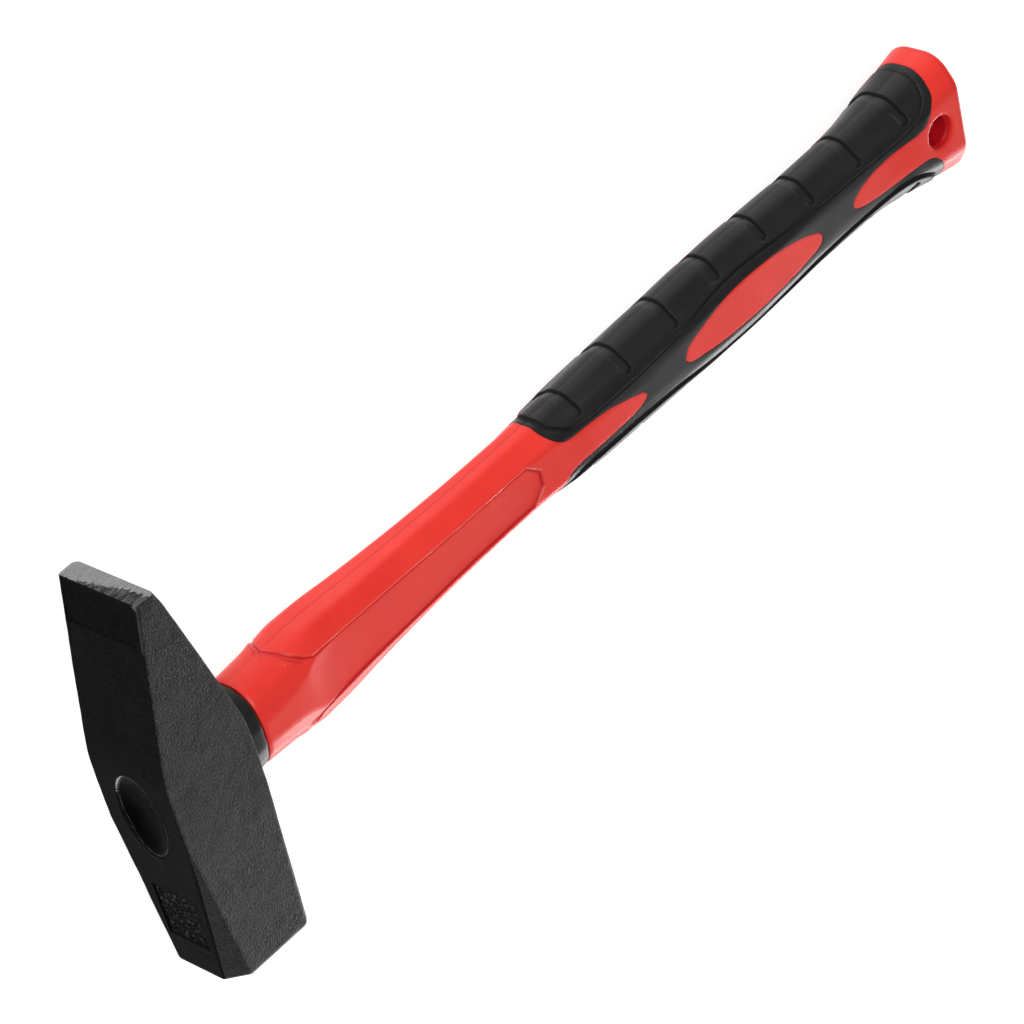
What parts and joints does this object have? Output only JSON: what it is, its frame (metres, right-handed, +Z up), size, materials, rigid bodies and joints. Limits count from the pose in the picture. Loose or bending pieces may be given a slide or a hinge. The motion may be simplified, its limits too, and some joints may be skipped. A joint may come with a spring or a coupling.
{
  "type": "cross-peen hammer",
  "caption": "Steel hammer with a square chamfered face and a wedge-shaped cross peen, on a two-component plastic handle with a ribbed grip and a hanging hole.",
  "frame": {"origin": "on the floor plane under the head's mid depth, on the handle's axis: the hammer lies on its lower cheek at z = 0", "axes": "+X runs along the handle from the head to the butt, +Y runs along the head from the striking face to the peen, +Z is up, from the lower cheek to the upper cheek"},
  "size_m": [0.3217, 0.118, 0.027],
  "materials": {
    "forged_steel": "black oxide over a fine forged texture, with the peen's land and the striking face ground bare",
    "black_resin": "cast, smooth and dark",
    "fibreglass": "drawn glass fibre rod, hidden in the handle",
    "black_rubber": "satin black ring",
    "red_polypropylene": "satin red moulding",
    "black_tpr": "soft-touch matte black over-moulding"
  },
  "bodies": {
    "root": {"head": "forged_steel", "eye_resin": "black_resin", "handle_core": "fibreglass", "collar": "black_rubber", "handle_jacket": "red_polypropylene", "grip_sleeve": "black_tpr"}
  },
  "joints": []
}
